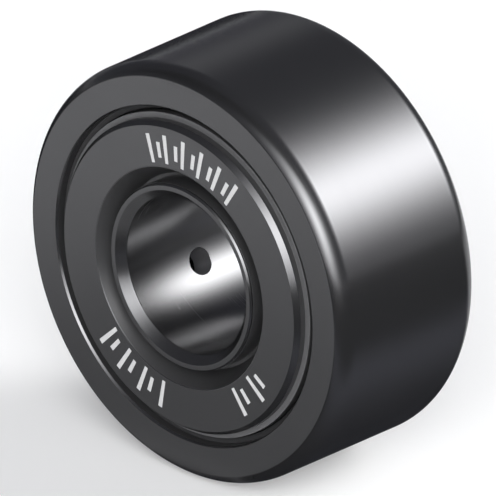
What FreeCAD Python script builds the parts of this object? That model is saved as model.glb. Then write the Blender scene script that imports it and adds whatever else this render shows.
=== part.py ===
"""Yoke type track roller (cam follower): full complement of needle rollers, sealed, cylindrical tyre.

Millimetres. The spin axis is Y, the front is at -Y and +Z is up. The origin is the centre of the
bearing. Every ring is turned from a half section whose points are (radius, height), where height
is the distance from the middle plane. The rear half is the front half turned half a turn about Z.
"""
import FreeCAD, Part
import math
import os

# ---- overall sizes -------------------------------------------------------------------------
OUTER_DIAMETER = 32.0          # running surface of the outer ring
OVERALL_WIDTH = 15.0           # over the two end plates, which the yoke clamps
BORE_DIAMETER = 12.0           # inner ring, on the yoke's pin

# ---- needle rollers, which fill the space between the rings and the end plates ---------------
ROLLER_DIAMETER = 2.5
ROLLER_END_ROUND = 0.25
RACEWAY_PLAY = 0.01            # radial gap from a roller to each raceway
SIDE_PLAY = 0.012              # least gap between two neighbouring rollers
END_PLAY = 0.10                # from a roller's end to the end plate

# ---- inner ring ----------------------------------------------------------------------------
INNER_RING_WALL = 2.0          # from the bore to the nominal raceway
INNER_RING_SET_IN = 0.14       # its end faces lie this far inside the end plates' faces
SPIGOT_WALL = 1.14             # wall of its ends, which carry the end plates
SPIGOT_LIP_LENGTH = 0.26       # slightly turned down end of the spigot
SPIGOT_LIP_STEP = 0.03
BORE_CHAMFER_DROP = 0.65       # radial
BORE_CHAMFER_DEPTH = 0.60      # axial
OIL_HOLE_DIAMETER = 2.0
OIL_HOLE_ANGLE = 209.0         # degrees from +X towards +Z

# ---- outer ring ----------------------------------------------------------------------------
SIDE_SET_IN = 0.5              # its side faces lie this far inside the end plates' faces
EDGE_SETBACK = 1.37            # how far the rounded edge reaches along the tyre
EDGE_DROP = 0.80               # how far it reaches down the side face
RECESS_DEPTH = 2.2             # recess in each side face, which holds the seal
RECESS_SHOULDER = 2.37         # from the raceway out to the recess's wall
RACEWAY_EDGE_BREAK = 0.15

# ---- end plates ----------------------------------------------------------------------------
PLATE_THICKNESS = 3.5          # raised face to the hub's back, which bears on the inner ring
PLATE_RIM_GAP = 0.52           # from the plate's rim to the recess's wall
PLATE_RIM_WIDTH = 0.43         # from the raised face's edge out to the rim's edge
PLATE_RIM_SET_IN = 0.87        # from the raised face down to the rim's face
PLATE_RIM_THICKNESS = 0.73
PLATE_CONE_WIDTH = 1.30        # conical recess around the spigot, at the raised face
PLATE_CONE_FLOOR = 0.30        # width of the flat ring at its bottom
PLATE_CONE_DEPTH = 2.00
HUB_RUNNING_GAP = 0.15         # from the plate's hub to the outer ring

# ---- seals ---------------------------------------------------------------------------------
SEAL_RIM_SET_IN = 0.71         # top of the seal's rim, below the outer ring's side face
SEAL_RIM_SLOPE = 0.24          # how much lower the rim's inner edge is
SEAL_RUNNING_GAP = 0.10        # from the seal's rim to the end plate's rim, radially
SEAL_WEB_THICKNESS = 0.35
SEAL_WEB_MARGIN = 0.32         # from the raceway's mouth to the web's inner edge
SEAL_LIP_THICKNESS = 0.30      # lip on the web's inner edge
SEAL_LIP_GAP = 0.05            # from the lip to the end plate's rim, axially

# ---- radii, from the bore outwards -----------------------------------------------------------
BORE_RADIUS = BORE_DIAMETER / 2
SPIGOT_RADIUS = BORE_RADIUS + SPIGOT_WALL
ROLLER_RADIUS = ROLLER_DIAMETER / 2
PITCH_RADIUS = BORE_RADIUS + INNER_RING_WALL + ROLLER_RADIUS
INNER_RACEWAY_RADIUS = PITCH_RADIUS - ROLLER_RADIUS - RACEWAY_PLAY
OUTER_RACEWAY_RADIUS = PITCH_RADIUS + ROLLER_RADIUS + RACEWAY_PLAY
RACEWAY_MOUTH_RADIUS = OUTER_RACEWAY_RADIUS + RACEWAY_EDGE_BREAK
RECESS_RADIUS = OUTER_RACEWAY_RADIUS + RECESS_SHOULDER
PLATE_RIM_RADIUS = RECESS_RADIUS - PLATE_RIM_GAP
OUTER_RADIUS = OUTER_DIAMETER / 2
ROLLER_COUNT = int(math.pi / math.asin((ROLLER_DIAMETER + SIDE_PLAY) / (2 * PITCH_RADIUS)))

# ---- heights, from the end plate's face inwards ------------------------------------------------
PLATE_FACE = OVERALL_WIDTH / 2
SIDE_FACE = PLATE_FACE - SIDE_SET_IN
SEAL_SEAT = SIDE_FACE - RECESS_DEPTH
RIM_FACE = PLATE_FACE - PLATE_RIM_SET_IN
RIM_BACK = RIM_FACE - PLATE_RIM_THICKNESS
PLATE_BACK = PLATE_FACE - PLATE_THICKNESS
ROLLER_LENGTH = 2 * (PLATE_BACK - END_PLAY)

AXIS = FreeCAD.Vector(0, -1, 0)
CENTRE = FreeCAD.Vector(0, 0, 0)


def point(radius, height):
    """A point of a half section: height is towards the front."""
    return FreeCAD.Vector(radius, -height, 0)


def lines(points):
    """Straight edges of a half section, from each point to the next."""
    return [Part.LineSegment(point(*a), point(*b)).toShape() for a, b in zip(points, points[1:])]


def turned(edges):
    """The solid that a closed half section makes when it turns about the spin axis."""
    return Part.Face(Part.Wire(edges)).revolve(CENTRE, AXIS, 360)


def both_sides(half):
    """A half section's front points, followed by the same points at the rear."""
    return half + [(radius, -height) for radius, height in reversed(half)]


def rear_copy(solid):
    """The same piece at the rear of the bearing."""
    copy = solid.copy()
    copy.rotate(CENTRE, FreeCAD.Vector(0, 0, 1), 180)
    return copy


def outer_ring():
    """Tyre with rounded edges, raceway and, in each side face, the recess for seal and end plate."""
    inside = both_sides([
        (OUTER_RADIUS - EDGE_DROP, SIDE_FACE),
        (RECESS_RADIUS, SIDE_FACE),
        (RECESS_RADIUS, SEAL_SEAT),
        (RACEWAY_MOUTH_RADIUS, SEAL_SEAT),
        (OUTER_RACEWAY_RADIUS, SEAL_SEAT - RACEWAY_EDGE_BREAK),
    ])
    edge_radius = (EDGE_SETBACK ** 2 + EDGE_DROP ** 2) / (2 * EDGE_DROP)
    half_turn = math.asin(EDGE_SETBACK / edge_radius) / 2
    tyre_end = SIDE_FACE - EDGE_SETBACK
    start = (OUTER_RADIUS, tyre_end)
    middle = (
        OUTER_RADIUS - edge_radius * (1 - math.cos(half_turn)),
        tyre_end + edge_radius * math.sin(half_turn),
    )
    finish = inside[0]
    front_edge = Part.Arc(point(*start), point(*middle), point(*finish)).toShape()
    rear = [(radius, -height) for radius, height in (finish, middle, start)]
    rear_edge = Part.Arc(*[point(*place) for place in rear]).toShape()
    tyre = lines([rear[-1], start])
    return turned(lines(inside) + [rear_edge] + tyre + [front_edge])


def inner_ring():
    """Raceway in the middle, a spigot at each end, a chamfered bore and the oil hole."""
    end = PLATE_FACE - INNER_RING_SET_IN
    lip_radius = SPIGOT_RADIUS - SPIGOT_LIP_STEP
    section = both_sides([
        (BORE_RADIUS, end - BORE_CHAMFER_DEPTH),
        (BORE_RADIUS + BORE_CHAMFER_DROP, end),
        (lip_radius, end),
        (lip_radius, end - SPIGOT_LIP_LENGTH),
        (SPIGOT_RADIUS, end - SPIGOT_LIP_LENGTH),
        (SPIGOT_RADIUS, PLATE_BACK),
        (INNER_RACEWAY_RADIUS, PLATE_BACK),
    ])
    ring = turned(lines(section + section[:1]))
    angle = math.radians(OIL_HOLE_ANGLE)
    outwards = FreeCAD.Vector(math.cos(angle), 0, math.sin(angle))
    drill = Part.makeCylinder(OIL_HOLE_DIAMETER / 2, OUTER_RADIUS, CENTRE, outwards)
    return ring.cut(drill).Solids[0]


def end_plate():
    """Front end plate, pressed on the spigot up to the raceway's shoulder."""
    hub_radius = OUTER_RACEWAY_RADIUS - HUB_RUNNING_GAP
    face_radius = PLATE_RIM_RADIUS - PLATE_RIM_WIDTH
    cone_floor = PLATE_FACE - PLATE_CONE_DEPTH
    section = [
        (SPIGOT_RADIUS, PLATE_BACK),
        (SPIGOT_RADIUS, cone_floor),
        (SPIGOT_RADIUS + PLATE_CONE_FLOOR, cone_floor),
        (SPIGOT_RADIUS + PLATE_CONE_WIDTH, PLATE_FACE),
        (face_radius, PLATE_FACE),
        (face_radius, RIM_FACE),
        (PLATE_RIM_RADIUS, RIM_FACE),
        (PLATE_RIM_RADIUS, RIM_BACK),
        (hub_radius, RIM_BACK),
        (hub_radius, PLATE_BACK),
    ]
    return turned(lines(section + section[:1]))


def seal():
    """Front seal: rim seated in the outer ring's recess, lip running behind the end plate's rim."""
    rim_top = SIDE_FACE - SEAL_RIM_SET_IN
    rim_inside = PLATE_RIM_RADIUS + SEAL_RUNNING_GAP
    web_top = SEAL_SEAT + SEAL_WEB_THICKNESS
    web_inside = RACEWAY_MOUTH_RADIUS + SEAL_WEB_MARGIN
    lip_outside = web_inside + SEAL_LIP_THICKNESS
    lip_top = RIM_BACK - SEAL_LIP_GAP
    section = [
        (RECESS_RADIUS, SEAL_SEAT),
        (RECESS_RADIUS, rim_top),
        (rim_inside, rim_top - SEAL_RIM_SLOPE),
        (rim_inside, web_top),
        (lip_outside, web_top),
        (lip_outside, lip_top),
        (web_inside, lip_top),
        (web_inside, SEAL_SEAT),
    ]
    return turned(lines(section + section[:1]))


def needle_roller(index):
    """One roller of the full complement, with round-edged flat ends."""
    roller = Part.makeCylinder(ROLLER_RADIUS, ROLLER_LENGTH, point(0, -ROLLER_LENGTH / 2), AXIS)
    ends = [edge for edge in roller.Edges if isinstance(edge.Curve, Part.Circle)]
    roller = roller.makeFillet(ROLLER_END_ROUND, ends)
    angle = 2 * math.pi * index / ROLLER_COUNT
    place = FreeCAD.Vector(PITCH_RADIUS * math.cos(angle), 0, PITCH_RADIUS * math.sin(angle))
    roller.translate(place)
    return roller.Solids[0]


def build():
    """Every piece of the bearing, by node name."""
    front_plate = end_plate()
    front_seal = seal()
    pieces = {
        "outer_ring": outer_ring(),
        "inner_ring": inner_ring(),
        "end_plate_front": front_plate,
        "end_plate_rear": rear_copy(front_plate),
        "seal_front": front_seal,
        "seal_rear": rear_copy(front_seal),
    }
    for index in range(ROLLER_COUNT):
        pieces[f"needle_roller_{index + 1:02d}"] = needle_roller(index)
    return pieces


os.makedirs("parts", exist_ok=True)
for name, shape in build().items():
    shape.exportStep(f"parts/{name}.step")
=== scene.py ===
import math

import bpy
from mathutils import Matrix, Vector
from mathutils.geometry import delaunay_2d_cdt


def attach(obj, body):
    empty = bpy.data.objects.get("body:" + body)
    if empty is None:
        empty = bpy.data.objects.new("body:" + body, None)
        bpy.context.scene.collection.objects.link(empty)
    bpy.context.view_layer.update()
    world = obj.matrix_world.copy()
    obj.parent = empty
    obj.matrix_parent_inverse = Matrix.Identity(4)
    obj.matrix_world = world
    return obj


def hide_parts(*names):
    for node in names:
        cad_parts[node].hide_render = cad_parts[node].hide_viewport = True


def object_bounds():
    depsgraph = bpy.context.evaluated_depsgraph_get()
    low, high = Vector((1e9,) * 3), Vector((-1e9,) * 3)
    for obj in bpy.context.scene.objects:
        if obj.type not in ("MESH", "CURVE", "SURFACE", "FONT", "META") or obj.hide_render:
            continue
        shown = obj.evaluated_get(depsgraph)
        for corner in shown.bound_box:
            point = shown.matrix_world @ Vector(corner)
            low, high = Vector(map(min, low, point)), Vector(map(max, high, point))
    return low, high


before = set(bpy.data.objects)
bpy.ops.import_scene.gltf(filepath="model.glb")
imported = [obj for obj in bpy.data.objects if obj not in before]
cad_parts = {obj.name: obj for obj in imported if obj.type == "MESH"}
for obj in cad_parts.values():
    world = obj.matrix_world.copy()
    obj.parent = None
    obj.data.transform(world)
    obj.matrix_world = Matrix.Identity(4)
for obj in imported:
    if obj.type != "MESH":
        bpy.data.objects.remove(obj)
cad_low, cad_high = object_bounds()
scene = bpy.context.scene

MM = 0.001
TURN = 2 * math.pi
TINY = 1e-6
SLACK = 0.01                        # for telling which faces lie within a size
ON_WALL = 0.001                     # and which lie on a wall


# ---------------------------------------------------------------- sizes
# Millimetres. Heights are along Y from the middle plane. They are the construction's sizes, apart
# from edge breaks and corner roundings that only this model has.

# 15.995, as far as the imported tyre's facets reach along Z; its true radius is 16
TYRE_RADIUS = min(cad_high.x, cad_high.z, -cad_low.x, -cad_low.z) / MM
PLATE_FACE = cad_high.y / MM        # 7.5
SIDE_FACE = 7.0                     # the outer ring's side face
INNER_RING_FACE = 7.36

BORE_RADIUS = 6.0
BORE_CHAMFER_FOOT = 6.76            # height where the bore's chamfer starts
BORE_CHAMFER_RADIUS = 6.65          # its radius at the ring's face
BORE_CHAMFER_CORNER = 0.08          # rounding between the chamfer and the face
SPIGOT_RADIUS = 7.14                # the inner ring's ends, which carry the end plates
SPIGOT_LIP_RADIUS = 7.11
SPIGOT_LIP_FOOT = 7.10
INNER_RACEWAY_RADIUS = 7.99
OUTER_RACEWAY_RADIUS = 10.51
RACEWAY_MOUTH = 0.15                # chamfer at each end of the outer raceway
RECESS_RADIUS = 12.88               # recess in the outer ring's side, which holds the seal
SEAL_SEAT = 4.8
EDGE_ROUND = 1.573                  # the tyre's rounded edge
EDGE_ROUND_HEIGHT = 5.63            # where that rounding leaves the tyre
EDGE_ROUND_END = 0.22               # small rounding that brings it into the side face

PLATE_BACK = 4.0
HUB_RADIUS = 10.36
RIM_BACK = 5.9
RIM_FACE = 6.63
RIM_RADIUS = 12.36
RIM_CORNER = 0.05
PLATE_WALL_RADIUS = 11.93           # edge of the end plate's raised face
PLATE_EDGE_BREAK = 0.5
CONE_RADIUS = 8.44                  # conical recess round the spigot, at the plate's face
CONE_FLOOR_RADIUS = 7.44
CONE_FLOOR = 5.5

SEAL_RIM_TOP = 6.29                 # at the recess's wall
SEAL_RIM_INNER_TOP = 6.05
SEAL_RIM_RADIUS = 12.46             # the rim's inner edge
SEAL_WEB_TOP = 5.15
SEAL_LIP_TOP = 5.85
SEAL_LIP_OUTER = 11.28
SEAL_LIP_INNER = 10.98

OIL_HOLE_RADIUS = 1.0
OIL_HOLE_ANGLE = math.radians(209)  # from +X towards +Z
OIL_HOLE_EDGE = 0.03
OIL_HOLE_STEPS = 72

# plain reference ticks on the front plate, in three groups where the real part is marked:
# the degrees they stand at, and the radii between which a long and a short one lies
TICK_GROUPS = (
    (58, 62, 68, 72, 78, 82, 88, 92, 98, 102, 107),
    (224, 229, 236, 241, 248, 253, 260),
    (-52, -47, -39, -34))
LONG_TICK = (8.8, 11.0)
SHORT_TICK = (9.2, 10.4)
TICK_HALF_WIDTH = 0.6               # degrees

# how finely the rings are divided
SEGMENTS = 360                      # one a degree
ARC_STEP = 5                        # degrees between the points of an arc of a profile
CORNER_STEP = 11                    # and of a rounded corner
PATCH_HALF_ANGLE = 15               # degrees of the walls remade round the oil hole
PATCH_HALF_WIDTH = 1.5
PATCH_ROWS = 4                      # rows of points in a remade wall, each side of its middle
PATCH_STEP = 0.3                    # between those rows
PATCH_MARGIN = 0.25                 # kept clear of such points round the hole


# ---------------------------------------------------------------- materials

class Nodes:
    """Short ways to add and join shader nodes."""

    def __init__(self, owner):
        owner.use_nodes = True
        self.tree = owner.node_tree
        self.tree.nodes.clear()

    def add(self, kind, **settings):
        node = self.tree.nodes.new(kind)
        for name, value in settings.items():
            setattr(node, name, value)
        return node

    def join(self, start, end):
        self.tree.links.new(start, end)

    def put(self, value, socket):
        if isinstance(value, (int, float, tuple, list)):
            socket.default_value = value
        else:
            self.join(value, socket)

    def math(self, operation, a, b=None):
        node = self.add("ShaderNodeMath", operation=operation)
        for value, socket in zip((a, b), node.inputs):
            if value is not None:
                self.put(value, socket)
        return node.outputs[0]

    def times(self, a, b):
        return self.math("MULTIPLY", a, b)

    def plus(self, a, b):
        return self.math("ADD", a, b)

    def largest(self, first, *others):
        for value in others:
            first = self.math("MAXIMUM", first, value)
        return first

    def left_over(self, value):
        """1 less the value."""
        return self.math("SUBTRACT", 1.0, value)

    def noise(self, vector, scale, detail=3, roughness=0.5):
        node = self.add("ShaderNodeTexNoise")
        self.put(vector, node.inputs["Vector"])
        node.inputs["Scale"].default_value = scale
        node.inputs["Detail"].default_value = detail
        node.inputs["Roughness"].default_value = roughness
        return node.outputs["Fac"]

    def spread(self, value, low, high):
        """0..1 to low..high."""
        node = self.add("ShaderNodeMapRange")
        self.put(value, node.inputs["Value"])
        node.inputs["To Min"].default_value = low
        node.inputs["To Max"].default_value = high
        return node.outputs[0]

    def ramp(self, value, start, end):
        """0 up to start, 1 from end on, smooth between."""
        node = self.add("ShaderNodeMapRange", interpolation_type="SMOOTHSTEP")
        self.put(value, node.inputs["Value"])
        node.inputs["From Min"].default_value = start
        node.inputs["From Max"].default_value = end
        return node.outputs[0]

    def between(self, value, start, full, fade, end):
        """0 up to start, 1 from full to fade, 0 from end on."""
        return self.times(self.ramp(value, start, full), self.left_over(self.ramp(value, fade, end)))

    def blend(self, amount, a, b):
        node = self.add("ShaderNodeMix", data_type="RGBA")
        self.put(amount, node.inputs["Factor"])
        self.put(a, node.inputs["A"])
        self.put(b, node.inputs["B"])
        return node.outputs["Result"]

    def place(self):
        return self.add("ShaderNodeTexCoord").outputs["Object"]

    def millimetres(self):
        """x, y and z of a point of the object, in millimetres."""
        split = self.add("ShaderNodeSeparateXYZ")
        self.join(self.place(), split.inputs[0])
        return [self.times(axis, 1 / MM) for axis in split.outputs]

    def bump(self, height, distance, shader):
        node = self.add("ShaderNodeBump")
        node.inputs["Strength"].default_value = 1.0
        node.inputs["Distance"].default_value = distance * MM
        self.join(height, node.inputs["Height"])
        self.join(node.outputs[0], shader.inputs["Normal"])


def principled(name):
    """A new material, its nodes and its shader."""
    material = bpy.data.materials.new(name)
    n = Nodes(material)
    out = n.add("ShaderNodeOutputMaterial")
    shader = n.add("ShaderNodeBsdfPrincipled")
    n.join(shader.outputs[0], out.inputs[0])
    return material, n, shader


def lathe_marks(n, fine):
    """Noise stretched round the axis, as the marks that turning and grinding leave.

    fine is about how many marks lie in a millimetre.
    """
    change_round_axis = 0.6
    x, y, z = n.millimetres()
    radius = n.math("SQRT", n.plus(n.times(x, x), n.times(z, z)))
    joined = n.add("ShaderNodeCombineXYZ")
    n.join(n.times(radius, fine), joined.inputs[0])
    n.join(n.times(y, fine), joined.inputs[1])
    n.join(n.times(n.math("COSINE", n.math("ARCTAN2", z, x)), change_round_axis), joined.inputs[2])
    return n.noise(joined.outputs[0], 1.0, 4, 0.6)


def steel(name, colour, shade, roughness, marks, depth, metallic=1.0, drawn_out=0.0):
    """Steel with marks round the axis, whose colour varies from shade to colour.

    marks is about how many lie in a millimetre, depth how deep they are in millimetres, and drawn_out
    how far a reflection spreads across them, along the axis.
    """
    material, n, shader = principled(name)
    rings = lathe_marks(n, marks)
    cloud = n.noise(n.place(), 260, 3)          # about 4 mm across
    mix = n.plus(n.times(rings, 0.6), n.times(cloud, 0.4))
    n.join(n.blend(mix, (*shade, 1), (*colour, 1)), shader.inputs["Base Color"])
    shader.inputs["Metallic"].default_value = metallic
    n.join(n.spread(mix, roughness * 0.88, roughness * 1.12), shader.inputs["Roughness"])
    if drawn_out:
        shader.inputs["Anisotropic"].default_value = drawn_out
        shader.inputs["Anisotropic Rotation"].default_value = 0.25      # a quarter turn
        tangent = n.add("ShaderNodeTangent", direction_type="RADIAL", axis="Y")
        n.join(tangent.outputs[0], shader.inputs["Tangent"])
    n.bump(rings, depth, shader)
    return material


def paint():
    """The ticks' pale fill, slightly uneven."""
    material, n, shader = principled("etched_mark")
    grain = n.noise(n.place(), 9000, 3)
    n.join(n.blend(grain, (0.50, 0.50, 0.50, 1), (0.62, 0.62, 0.62, 1)), shader.inputs["Base Color"])
    shader.inputs["Roughness"].default_value = 0.6
    return material


def rubber():
    """The seals' matt black compound, with a fine grain."""
    material, n, shader = principled("seal_compound")
    grain = n.noise(n.place(), 5000, 4)
    n.join(n.blend(grain, (0.018, 0.018, 0.019, 1), (0.034, 0.034, 0.036, 1)), shader.inputs["Base Color"])
    n.join(n.spread(grain, 0.5, 0.75), shader.inputs["Roughness"])
    n.bump(grain, 0.004, shader)
    return material


ground = steel("black_oxide", (0.106, 0.106, 0.109), (0.086, 0.086, 0.089),
               roughness=0.21, marks=9.0, depth=0.00025, metallic=0.88)
honed = steel("black_oxide_honed", (0.172, 0.172, 0.176), (0.156, 0.156, 0.159),
              roughness=0.265, marks=9.0, depth=0.00005, drawn_out=0.65)
# turning marks are the real finish of the recessed and hidden faces; their darker colour is painted shade
# for those recesses
turned_with_painted_shade = steel("black_oxide_turned_painted_shade", (0.068, 0.068, 0.070), (0.052, 0.052, 0.054),
                    roughness=0.32, marks=6.0, depth=0.0006, metallic=0.4)
dull = steel("black_oxide_dull", (0.112, 0.112, 0.115), (0.092, 0.092, 0.095),
             roughness=0.5, marks=9.0, depth=0.0003, metallic=0.1)
drilled = steel("drilled_steel", (0.30, 0.30, 0.31), (0.22, 0.22, 0.23),
                roughness=0.38, marks=12.0, depth=0.001, metallic=0.8)
polished = steel("roller_steel", (0.62, 0.62, 0.64), (0.55, 0.55, 0.57),
                 roughness=0.16, marks=9.0, depth=0.0002)
marked = paint()
compound = rubber()


# ---------------------------------------------------------------- profiles
# A profile is a closed loop of (radius, height, corner radius), with the metal on the left of
# each step. An arc is (centre radius, centre height, arc radius, start, end) with its angles in
# degrees, 0 pointing outwards.

def heading(degrees):
    return Vector((math.cos(math.radians(degrees)), math.sin(math.radians(degrees))))


def out_of(step):
    """The direction out of the metal, beside a step."""
    return Vector((step.y, -step.x))


def rotated(v, angle):
    c = math.cos(angle)
    s = math.sin(angle)
    return Vector((v.x * c - v.y * s, v.x * s + v.y * c))


def ends_of(item):
    """The first and last point of a corner or an arc."""
    if len(item) == 3:
        return [Vector(item[:2])] * 2
    r, y, size, first, last = item
    return [Vector((r, y)) + size * heading(first), Vector((r, y)) + size * heading(last)]


def arc_points(item, step_in, step_out):
    r, y, size, first, last = item
    steps = max(4, round(abs(last - first) / ARC_STEP))
    made = []
    for k in range(steps + 1):
        n = heading(first + (last - first) * k / steps)
        arriving = out_of(step_in) if k == 0 and step_in.length else n
        leaving = out_of(step_out) if k == steps and step_out.length else n
        made.append((Vector((r, y)) + size * n, arriving, leaving))
    return made


def corner_points(corner, size, step_in, step_out):
    turn = math.atan2(step_in.x * step_out.y - step_in.y * step_out.x, step_in.dot(step_out))
    if size <= 0 or abs(turn) < 0.01:           # a sharp corner, or nearly straight on
        return [(corner, out_of(step_in), out_of(step_out))]
    side = 1 if turn > 0 else -1
    start = corner - step_in * size * math.tan(abs(turn) / 2)
    centre = start - out_of(step_in) * size * side
    steps = max(3, round(math.degrees(abs(turn)) / CORNER_STEP))
    made = []
    for k in range(steps + 1):
        n = rotated(out_of(step_in), turn * k / steps)
        made.append((centre + n * size * side, n, n))
    return made


def loop_of(profile):
    """The loop as (point, normal arriving, normal leaving), with its corners rounded."""
    ends = [ends_of(item) for item in profile]
    loop = []
    for i, item in enumerate(profile):
        first, last = ends[i]
        step_in = (first - ends[i - 1][1]).normalized()
        step_out = (ends[(i + 1) % len(profile)][0] - last).normalized()
        if len(item) == 5:
            loop += arc_points(item, step_in, step_out)
        else:
            loop += corner_points(first, item[2], step_in, step_out)
    return loop


def mirrored(profile):
    """The same profile on the other side of the middle plane."""
    return [(i[0], -i[1], i[2], -i[4], -i[3]) if len(i) == 5 else (i[0], -i[1], i[2])
            for i in reversed(profile)]


def broken_edge(radius, face, size, corner, side=-1):
    """A small chamfer from a wall at this radius to a side face; side is 1 on a recess's edge."""
    along_radius = 0.64 * size
    along_axis = 0.77 * size
    return [(radius, face - along_axis, corner), (radius + side * along_radius, face, corner)]


def edge_rounding():
    """The tyre's rounded edge at the rear, from the tyre to the side face, in two arcs."""
    centre = Vector((TYRE_RADIUS - EDGE_ROUND, EDGE_ROUND_HEIGHT))
    reach = EDGE_ROUND - EDGE_ROUND_END
    lean = math.degrees(math.asin((SIDE_FACE - EDGE_ROUND_END - centre.y) / reach))
    second = centre + reach * heading(lean)
    return [(centre.x, centre.y, EDGE_ROUND, 0, lean), (second.x, second.y, EDGE_ROUND_END, lean, 90)]


def outer_ring_half():
    return (edge_rounding()
            + broken_edge(RECESS_RADIUS, SIDE_FACE, 0.2, 0.03, side=1)[::-1]
            + [(RECESS_RADIUS, SEAL_SEAT, 0.15),
               (OUTER_RACEWAY_RADIUS + RACEWAY_MOUTH, SEAL_SEAT, 0),
               (OUTER_RACEWAY_RADIUS, SEAL_SEAT - RACEWAY_MOUTH, 0)])


def inner_ring_half():
    return [(INNER_RACEWAY_RADIUS, PLATE_BACK, 0.1), (SPIGOT_RADIUS, PLATE_BACK, 0),
            (SPIGOT_RADIUS, SPIGOT_LIP_FOOT, 0.01), (SPIGOT_LIP_RADIUS, SPIGOT_LIP_FOOT, 0.01),
            *broken_edge(SPIGOT_LIP_RADIUS, INNER_RING_FACE, 0.18, 0.02),
            (BORE_CHAMFER_RADIUS, INNER_RING_FACE, BORE_CHAMFER_CORNER),
            (BORE_RADIUS, BORE_CHAMFER_FOOT, 0.12), (BORE_RADIUS, PATCH_HALF_WIDTH, 0)]


def end_plate_rear():
    """The rear end plate. Its face has points where the ticks' ends are on the front one."""
    return [(HUB_RADIUS, PLATE_BACK, 0.1), (HUB_RADIUS, RIM_BACK, 0), (RIM_RADIUS, RIM_BACK, 0.06),
            (RIM_RADIUS, RIM_FACE, RIM_CORNER), (PLATE_WALL_RADIUS, RIM_FACE, 0.03),
            *broken_edge(PLATE_WALL_RADIUS, PLATE_FACE, PLATE_EDGE_BREAK, 0.03),
            (LONG_TICK[1], PLATE_FACE, 0), (SHORT_TICK[1], PLATE_FACE, 0),
            (SHORT_TICK[0], PLATE_FACE, 0), (LONG_TICK[0], PLATE_FACE, 0),
            (CONE_RADIUS, PLATE_FACE, 0.14), (CONE_FLOOR_RADIUS, CONE_FLOOR, 0.12),
            (SPIGOT_RADIUS, CONE_FLOOR, 0), (SPIGOT_RADIUS, PLATE_BACK, 0.1)]


def seal_rear():
    return [(RECESS_RADIUS, SEAL_SEAT, 0), (RECESS_RADIUS, SEAL_RIM_TOP, 0.05),
            (SEAL_RIM_RADIUS, SEAL_RIM_INNER_TOP, 0.08), (SEAL_RIM_RADIUS, SEAL_WEB_TOP, 0.1),
            (SEAL_LIP_OUTER, SEAL_WEB_TOP, 0.1), (SEAL_LIP_OUTER, SEAL_LIP_TOP, 0.1),
            (SEAL_LIP_INNER, SEAL_LIP_TOP, 0.1), (SEAL_LIP_INNER, SEAL_SEAT, 0)]


# ---------------------------------------------------------------- which finish a face has
# A face goes from point p to point q of a loop, and degree is where its middle stands.

def outer_ring_finish(p, q, degree):
    # recessed faces take the turned finish, whose darker colour is painted shade
    return turned_with_painted_shade if max(p.x, q.x) < RECESS_RADIUS + ON_WALL else ground


def inner_ring_finish(p, q, degree):
    outer = max(p.x, q.x)
    if outer < BORE_RADIUS + SLACK:
        return honed
    end_face = max(abs(p.y), abs(q.y)) > SPIGOT_LIP_FOOT + SLACK
    chamfer = outer < BORE_CHAMFER_RADIUS + BORE_CHAMFER_CORNER
    # raceway and spigot walls take the turned finish, whose darker colour is painted shade
    return ground if end_face or chamfer else turned_with_painted_shade


def is_tick(inner, outer, degree):
    for group in TICK_GROUPS:
        for number, tick in enumerate(group):
            low, high = LONG_TICK if number % 2 == 0 else SHORT_TICK
            off = (degree - tick + 180) % 360 - 180
            if abs(off) < TICK_HALF_WIDTH and low - SLACK < inner and outer < high + SLACK:
                return True
    return False


def end_plate_finish(p, q, degree):
    inner, outer = min(p.x, q.x), max(p.x, q.x)
    lowest = min(abs(p.y), abs(q.y))
    if outer > PLATE_WALL_RADIUS + SLACK and lowest > RIM_FACE - RIM_CORNER - SLACK:
        return dull
    below_edge_break = lowest < PLATE_FACE - 0.9 * PLATE_EDGE_BREAK
    # walls below the edge break and the cone recess take the turned finish, darker as painted shade
    if below_edge_break or outer < CONE_RADIUS:
        return turned_with_painted_shade
    front_face = max(p.y, q.y) < -PLATE_FACE + TINY
    return marked if front_face and is_tick(inner, outer, degree) else ground


# ---------------------------------------------------------------- lathed pieces

def around(v, angle):
    """A profile's point or normal, turned about the Y axis."""
    return (v[0] * math.cos(angle), v[1], v[0] * math.sin(angle))


class Shell:
    """Points in millimetres, and faces with a normal at each corner and a finish."""

    def __init__(self, points):
        self.points = points
        self.faces = []
        self.normals = []
        self.finishes = []

    def add(self, corners, normals, finish):
        self.faces.append(tuple(corners))
        self.normals += [tuple(normal) for normal in normals]
        self.finishes.append(finish)

    def add_facing(self, corners, normals, finish):
        """Adds a face, turned over if it faces away from its first normal."""
        a, b, c = (Vector(self.points[v]) for v in corners[:3])
        if (b - a).cross(c - a).dot(normals[0]) < 0:
            corners = corners[::-1]
            normals = normals[::-1]
        self.add(corners, normals, finish)

    def piece(self, name, materials):
        """The mesh object, in metres."""
        mesh = bpy.data.meshes.new(name)
        mesh.from_pydata([[c * MM for c in p] for p in self.points], [], self.faces)
        mesh.polygons.foreach_set("use_smooth", [True] * len(mesh.polygons))
        for material in materials:
            mesh.materials.append(material)
        places = {material.name: place for place, material in enumerate(materials)}
        for face, finish in zip(mesh.polygons, self.finishes):
            face.material_index = places[finish.name]
        mesh.normals_split_custom_set(self.normals)
        piece = bpy.data.objects.new(name, mesh)
        scene.collection.objects.link(piece)
        return piece


def has_oil_hole(p, q):
    """Whether a step of the inner ring's loop is a wall that the oil hole goes through."""
    straight = abs(p.x - q.x) < TINY and abs(p.y + q.y) < TINY
    return straight and abs(abs(p.y) - PATCH_HALF_WIDTH) < TINY


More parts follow.
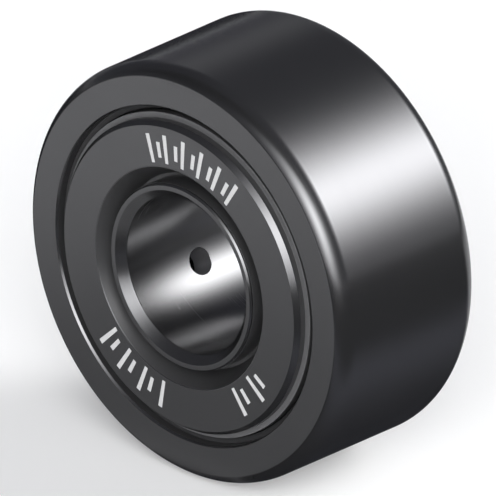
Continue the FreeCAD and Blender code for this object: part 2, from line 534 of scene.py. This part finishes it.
def lathe(name, profile, materials, finish_of=None, oil_hole=False):
    """Turns a profile about the Y axis. finish_of gives a face's material, or it is the first one."""
    loop = loop_of(profile)
    angles = [OIL_HOLE_ANGLE + TURN * k / SEGMENTS for k in range(SEGMENTS)]
    shell = Shell([around(p, a) for p, _, _ in loop for a in angles])
    walls = []
    for i, (p, _, leaving) in enumerate(loop):
        j = (i + 1) % len(loop)
        q, arriving, _ = loop[j]
        wall = oil_hole and has_oil_hole(p, q)
        if wall:
            walls.append((i, j, p.x, leaving.x))
        for k in range(SEGMENTS):
            if wall and (k < PATCH_HALF_ANGLE or k >= SEGMENTS - PATCH_HALF_ANGLE):
                continue
            after = (k + 1) % SEGMENTS
            degree = math.degrees(OIL_HOLE_ANGLE) + k + 0.5
            shell.add((i * SEGMENTS + k, j * SEGMENTS + k, j * SEGMENTS + after, i * SEGMENTS + after),
                      [around(leaving, angles[k]), around(arriving, angles[k]),
                       around(arriving, angles[after]), around(leaving, angles[after])],
                      finish_of(p, q, degree) if finish_of else materials[0])
    if oil_hole:
        make_oil_hole(shell, walls)
    return shell.piece(name, materials)


# ---------------------------------------------------------------- the oil hole

ALONG = Vector(around((1, 0), OIL_HOLE_ANGLE))      # the hole's axis, outwards
ACROSS = Vector((-ALONG.z, 0, ALONG.x))
UP = Vector((0, 1, 0))
HOLE_ANGLES = [TURN * k / OIL_HOLE_STEPS for k in range(OIL_HOLE_STEPS)]


def hole_ring(shell, radius, wall_radius, further_out):
    """A ring of points round the hole, on a wall of the inner ring or further out than it."""
    first = len(shell.points)
    for angle in HOLE_ANGLES:
        s = radius * math.cos(angle)
        height = math.sqrt(wall_radius ** 2 - s ** 2) + further_out
        shell.points.append(tuple(ALONG * height + ACROSS * s + UP * radius * math.sin(angle)))
    return first


def join_rings(shell, first, second, lean, finish):
    """Faces from ring to ring, whose normals point at the hole's axis and lean over by lean."""
    for k in range(OIL_HOLE_STEPS):
        after = (k + 1) % OIL_HOLE_STEPS
        a, b = ((lean - ACROSS * math.cos(HOLE_ANGLES[m]) - UP * math.sin(HOLE_ANGLES[m])).normalized()
                for m in (k, after))
        shell.add_facing([first + k, first + after, second + after, second + k], [a, b, b, a], finish)


def patch_pattern(shell, i, j, radius, rim):
    """The gap in a wall laid out flat, as (distance round the wall, height).

    Gives those flat points, the shell's point that each one is, and the edges to keep.
    """
    flat = []
    where = []
    span = range(-PATCH_HALF_ANGLE, PATCH_HALF_ANGLE + 1)
    for row, steps in ((i, span), (j, reversed(span))):
        for k in steps:
            v = row * SEGMENTS + k % SEGMENTS
            flat.append(Vector((radius * math.radians(k), shell.points[v][1])))
            where.append(v)
    border = len(flat)
    edges = [(k, (k + 1) % border) for k in range(border)]
    for k, angle in enumerate(HOLE_ANGLES):
        s = (OIL_HOLE_RADIUS + OIL_HOLE_EDGE) * math.cos(angle)
        flat.append(Vector((radius * math.asin(s / radius), shell.points[rim + k][1])))
        where.append(rim + k)
        edges.append((border + k, border + (k + 1) % OIL_HOLE_STEPS))
    for k in span[1:-1]:
        for row in range(-PATCH_ROWS, PATCH_ROWS + 1):
            spot = Vector((radius * math.radians(k), row * PATCH_STEP))
            if spot.length > OIL_HOLE_RADIUS + PATCH_MARGIN:
                where.append(len(shell.points))
                shell.points.append(around((radius, spot.y), OIL_HOLE_ANGLE + math.radians(k)))
                flat.append(spot)
    return flat, where, edges


def patch_wall(shell, i, j, radius, facing, rim, finish):
    """Fills a wall's gap round the hole's rim. facing is -1 in the bore, 1 on the raceway."""
    flat, where, edges = patch_pattern(shell, i, j, radius, rim)
    spots, _, triangles, origins, _, _ = delaunay_2d_cdt(flat, edges, [], 0, 1e-7)
    for triangle in triangles:
        middle = sum((spots[v] for v in triangle), Vector((0, 0))) / 3
        if middle.length < OIL_HOLE_RADIUS + OIL_HOLE_EDGE * 0.9:       # inside the rim
            continue
        corners = [where[origins[v][0]] for v in triangle]
        if all(rim <= v < rim + OIL_HOLE_STEPS for v in corners):       # a sliver along it
            continue
        normals = []
        for v in corners:
            p = Vector(shell.points[v])
            normals.append(Vector((p.x, 0, p.z)).normalized() * facing)
        shell.add_facing(corners, normals, finish)


def make_oil_hole(shell, walls):
    """Fills the gap left in each wall round the oil hole, and joins the two walls with the hole."""
    throats = []
    for i, j, radius, facing in walls:
        rim = hole_ring(shell, OIL_HOLE_RADIUS + OIL_HOLE_EDGE, radius, 0)
        throat = hole_ring(shell, OIL_HOLE_RADIUS, radius, -facing * OIL_HOLE_EDGE)
        throats.append(throat)
        patch_wall(shell, i, j, radius, facing, rim, honed if facing < 0 else turned_with_painted_shade)
        join_rings(shell, rim, throat, ALONG * facing, ground)
    join_rings(shell, *throats, Vector((0, 0, 0)), drilled)


# ---------------------------------------------------------------- the pieces

half = outer_ring_half()
outer_ring = lathe("track_ring", half + mirrored(half), [ground, turned_with_painted_shade], outer_ring_finish)

half = inner_ring_half()
inner_ring = lathe("inner_race",
                   [(INNER_RACEWAY_RADIUS, PATCH_HALF_WIDTH, 0)] + half
                   + mirrored(half) + [(INNER_RACEWAY_RADIUS, -PATCH_HALF_WIDTH, 0)],
                   [ground, honed, turned_with_painted_shade, drilled], inner_ring_finish, oil_hole=True)

front_plate = lathe("end_washer_front", mirrored(end_plate_rear()),
                    [ground, turned_with_painted_shade, dull, marked], end_plate_finish)
rear_plate = lathe("end_washer_rear", end_plate_rear(), [ground, turned_with_painted_shade, dull], end_plate_finish)
front_seal = lathe("lip_seal_front", mirrored(seal_rear()), [compound])
rear_seal = lathe("lip_seal_rear", seal_rear(), [compound])

for piece, body, node, slot in (
        (outer_ring, "outer_ring", "outer_ring", "black_oxide_steel"),
        (inner_ring, "inner_assembly", "inner_ring", "black_oxide_steel"),
        (front_plate, "inner_assembly", "end_plate_front", "black_oxide_steel"),
        (rear_plate, "inner_assembly", "end_plate_rear", "black_oxide_steel"),
        (front_seal, "outer_ring", "seal_front", "seal_rubber"),
        (rear_seal, "outer_ring", "seal_rear", "seal_rubber")):
    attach(piece, body)
    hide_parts(node)

for name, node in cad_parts.items():
    if name.startswith("needle_roller"):
        for place in node.material_slots:
            place.material = polished


# ---------------------------------------------------------------- stage

ROOM_TINT = (0.9, 0.93, 1.12, 1)
FLOOR_HALF_SIZE = 1.5               # metres, as the next three are
FLOOR_DROP = 0.00002                # from the object down to the floor
PAINTED_SHADE_SHEET_HALF_SIZE = 1.45
PAINTED_SHADE_SHEET_DROP = 0.00001


def sheet_of(name, material_name, corners):
    """A flat four-sided stage piece, and the nodes and the output of a material for it."""
    mesh = bpy.data.meshes.new(name)
    mesh.from_pydata(corners, [], [(0, 1, 2, 3)])
    sheet = bpy.data.objects.new(name, mesh)
    scene.collection.objects.link(sheet)
    material = bpy.data.materials.new(material_name)
    mesh.materials.append(material)
    n = Nodes(material)
    return sheet, n, n.add("ShaderNodeOutputMaterial")


def level_corners(half_size, level):
    return [(x * half_size, y * half_size, level) for x, y in ((-1, -1), (1, -1), (1, 1), (-1, 1))]


def only_in_reflections(sheet):
    for ray in ("camera", "diffuse", "shadow", "transmission", "volume_scatter"):
        setattr(sheet, "visible_" + ray, False)


def make_floor():
    """Pale paper, lifted a little towards white where it is looked at."""
    corners = level_corners(FLOOR_HALF_SIZE, cad_low.z - FLOOR_DROP)
    _, n, out = sheet_of("floor", "floor_paper", corners)
    diffuse = n.add("ShaderNodeBsdfDiffuse")
    diffuse.inputs["Color"].default_value = (0.8, 0.8, 0.8, 1)
    path = n.add("ShaderNodeLightPath")
    seen = n.largest(path.outputs["Is Camera Ray"], path.outputs["Is Glossy Ray"],
                     path.outputs["Is Transmission Ray"])
    glow = n.add("ShaderNodeEmission")
    n.join(n.times(seen, 0.2), glow.inputs["Strength"])
    both = n.add("ShaderNodeAddShader")
    n.join(diffuse.outputs[0], both.inputs[0])
    n.join(glow.outputs[0], both.inputs[1])
    n.join(both.outputs[0], out.inputs[0])


def painted_shade_cover(n, x, y):
    """Where the painted shade sheet lies over the floor, 0 to 1, from places on it in millimetres: painted
    shade and painted shadow that reflections show instead of the lit floor.
    """

    def angle_from(px, py):
        return n.math("DEGREES", n.math("ARCTAN2", n.math("SUBTRACT", y, py), n.math("SUBTRACT", x, px)))

    distance = n.math("SQRT", n.plus(n.times(x, x), n.times(y, y)))
    off_axis = n.math("ABSOLUTE", x)
    off_middle = n.math("ABSOLUTE", y)

    # painted shade far from the object
    far = n.ramp(distance, 100, 200)
    # painted shade on the right side, from a slanting edge in front to one behind
    right = n.times(n.ramp(x, -1, 6), n.ramp(angle_from(4, -4), -118, -72))
    right = n.times(right, n.left_over(n.ramp(angle_from(2, 14), 38, 52)))
    # painted shade in a narrow wedge behind, to the left
    behind_left = n.times(n.between(angle_from(0, 0), 128, 136, 146, 154), n.ramp(distance, 36, 60))
    # painted shade in a wedge to the left from under the front face; its angle is 0 towards -X and grows
    # towards +Y
    slant = n.math("DEGREES", n.math("ARCTAN2", n.plus(y, 6.0), n.math("SUBTRACT", 3.0, x)))
    beside = n.between(slant, -28, 2, 18, 48)
    # painted contact shadow under the object, where it stands
    under = n.times(n.left_over(n.ramp(off_axis, 3, 10)), n.left_over(n.ramp(off_middle, 6, 11)))
    # weaker painted shade close to the object, in front of it and behind
    near = n.times(n.left_over(n.ramp(distance, 20, 66)), n.ramp(off_middle, 5, 12))
    return n.largest(far, right, behind_left, beside, under, n.times(near, 0.45))


def make_painted_shade_sheet():
    """A sheet of painted shade just over the floor that only reflections see, with soft edges and one
    paler stripe of painted reflection.
    """
    corners = level_corners(PAINTED_SHADE_SHEET_HALF_SIZE, cad_low.z - PAINTED_SHADE_SHEET_DROP)
    sheet, n, out = sheet_of("painted_shade_sheet", "painted_shade_sheet", corners)
    x, y, _ = n.millimetres()
    # the painted shade's faint glow, and a paler glowing stripe of painted reflection across it
    dim = 0.03
    stripe_middle, stripe_width, stripe_strength = 24, 5, 0.2
    off = n.math("DIVIDE", n.math("SUBTRACT", x, stripe_middle), stripe_width)
    stripe = n.times(n.math("EXPONENT", n.times(n.times(off, off), -0.5)), stripe_strength)
    glow = n.add("ShaderNodeEmission")
    glow.inputs["Color"].default_value = ROOM_TINT
    n.join(n.plus(stripe, dim), glow.inputs["Strength"])
    clear = n.add("ShaderNodeBsdfTransparent")
    mix = n.add("ShaderNodeMixShader")
    n.join(painted_shade_cover(n, x, y), mix.inputs[0])
    n.join(clear.outputs[0], mix.inputs[1])
    n.join(glow.outputs[0], mix.inputs[2])
    n.join(mix.outputs[0], out.inputs[0])
    only_in_reflections(sheet)


def make_scrim():
    """A net in front of the tyre's top that softens the front lamp's glare there, in reflections only."""
    left, right, bottom, top, front = -18, 26, 14, 36, -8.6
    corners = [(x * MM, front * MM, z * MM)
               for x, z in ((left, bottom), (right, bottom), (right, top), (left, top))]
    net, n, out = sheet_of("scrim", "scrim", corners)
    x, _, z = n.millimetres()
    thick = n.times(n.between(x, -17, -9, 16, 25), n.between(z, 15, 18, 27, 35))     # soft edges all round
    clear = n.add("ShaderNodeBsdfTransparent")
    n.join(n.blend(thick, (1, 1, 1, 1), (0.33, 0.33, 0.33, 1)), clear.inputs["Color"])
    n.join(clear.outputs[0], out.inputs[0])
    only_in_reflections(net)


# ---------------------------------------------------------------- light

ROOM_STRENGTH = 0.11
HORIZON_TOP = 0.012                 # the pale horizon ends here, as the height of a direction
# each soft lamp's direction, the direction it spreads along, its width, its spread and its strength
LAMPS = (
    ((0.515, 0.70, 0.495), (-0.8, 0, 0.6), 0.17, 0.19, 16.5),       # behind, to the right
    ((0.634, -0.643, 0.429), (0, 0, 1), 0.255, 0.255, 12.5),        # in front
    ((-0.66, 0.643, 0.38), (0.5, 0, 0.86), 0.14, 0.12, 0.3))        # behind, to the left


def lamp_light(n, sky, direction, towards, width, spread):
    """A soft lamp in the sky: 1 at its middle, falling off over width, and over spread along towards."""
    middle = Vector(direction).normalized()
    long = (Vector(towards) - middle * middle.dot(Vector(towards))).normalized()
    short = middle.cross(long)

    def dot(v):
        node = n.add("ShaderNodeVectorMath", operation="DOT_PRODUCT")
        n.join(sky, node.inputs[0])
        node.inputs[1].default_value = v
        return node.outputs["Value"]

    a = n.math("DIVIDE", dot(long), spread)
    b = n.math("DIVIDE", dot(short), width)
    fall = n.times(n.plus(n.times(a, a), n.times(b, b)), -0.5)
    return n.times(n.math("EXPONENT", fall), n.math("GREATER_THAN", dot(middle), 0.0))


def light_the_scene():
    world = bpy.data.worlds.new("studio")
    scene.world = world
    n = Nodes(world)
    out = n.add("ShaderNodeOutputWorld")
    room = n.add("ShaderNodeBackground")
    room.inputs["Color"].default_value = ROOM_TINT
    room.inputs["Strength"].default_value = ROOM_STRENGTH
    sky = n.add("ShaderNodeTexCoord").outputs["Generated"]
    split = n.add("ShaderNodeSeparateXYZ")
    n.join(sky, split.inputs[0])
    strength = n.math("LESS_THAN", split.outputs[2], HORIZON_TOP)
    for *shape, power in LAMPS:
        strength = n.plus(n.times(lamp_light(n, sky, *shape), power), strength)
    lamps = n.add("ShaderNodeBackground")
    n.join(strength, lamps.inputs["Strength"])
    both = n.add("ShaderNodeAddShader")
    n.join(room.outputs[0], both.inputs[0])
    n.join(lamps.outputs[0], both.inputs[1])
    n.join(both.outputs[0], out.inputs[0])


# ---------------------------------------------------------------- camera

AZIMUTH = math.radians(44.6)
ELEVATION = math.radians(25.4)
VIEW_WIDTH = 35.72                  # millimetres
AIM_LEFT = 0.298                    # millimetres from the object's middle to the view's, to the left
AIM_DOWN = 0.091                    # and down
CAMERA_DISTANCE = 0.15              # metres


def make_camera():
    back = Vector((math.sin(AZIMUTH) * math.cos(ELEVATION),
                   -math.cos(AZIMUTH) * math.cos(ELEVATION),
                   math.sin(ELEVATION)))
    right = Vector((math.cos(AZIMUTH), math.sin(AZIMUTH), 0))
    up = back.cross(right)
    data = bpy.data.cameras.new("camera")
    data.type = "ORTHO"
    data.ortho_scale = VIEW_WIDTH * MM
    data.clip_start = 0.001
    data.clip_end = 10
    camera = bpy.data.objects.new("camera", data)
    scene.collection.objects.link(camera)
    camera.rotation_mode = "QUATERNION"
    camera.rotation_quaternion = (-back).to_track_quat("-Z", "Y")
    camera.location = back * CAMERA_DISTANCE - right * AIM_LEFT * MM - up * AIM_DOWN * MM
    scene.camera = camera


make_floor()
make_painted_shade_sheet()
make_scrim()
light_the_scene()
make_camera()
scene.view_settings.view_transform = "Standard"
